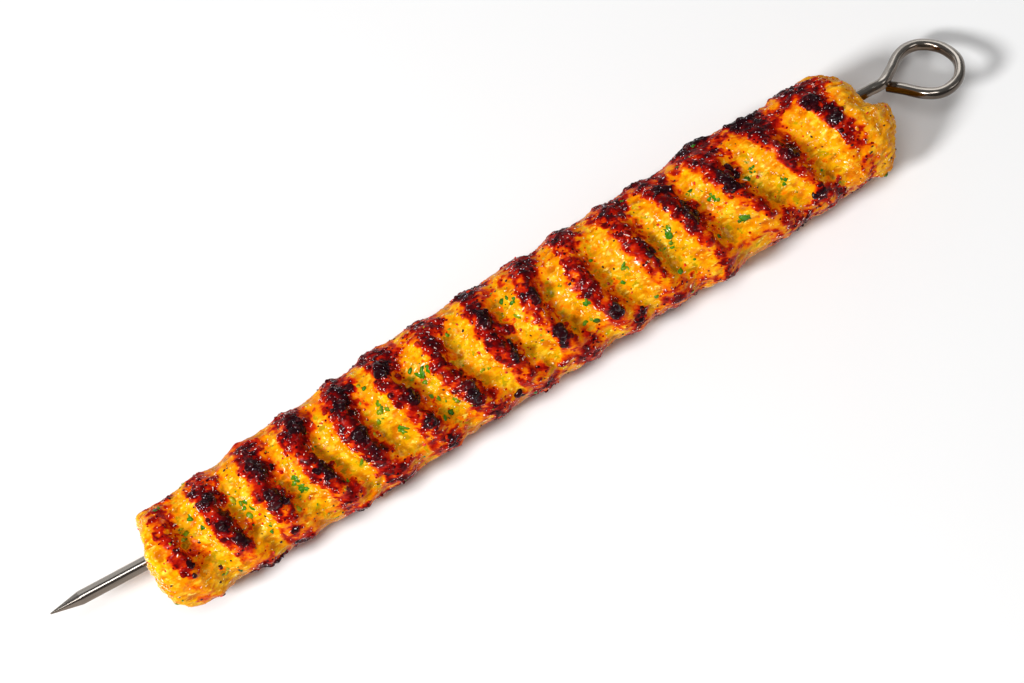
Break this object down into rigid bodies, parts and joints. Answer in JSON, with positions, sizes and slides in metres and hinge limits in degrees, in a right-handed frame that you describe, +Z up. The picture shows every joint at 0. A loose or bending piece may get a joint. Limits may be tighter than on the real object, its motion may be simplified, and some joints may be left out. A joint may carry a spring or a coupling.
{
  "type": "kofta skewer",
  "caption": "Grilled kofta: a long hand-pressed roll of spiced minced meat with finger ridges, on a pointed steel skewer with a loop handle.",
  "frame": {"origin": "under the middle of the whole piece, at the height of the plate it rests on", "axes": "+X along the skewer from its point to its loop, +Z up, the pressed and grilled side up"},
  "size_m": [0.3026, 0.0378, 0.0348],
  "materials": {
    "grilled_meat": "glossy grilled meat, yellow-orange with red and black char on the ridges",
    "polished_steel": "bright drawn steel"
  },
  "bodies": {
    "root": {"kofta": "grilled_meat", "skewer": "polished_steel"}
  },
  "joints": []
}
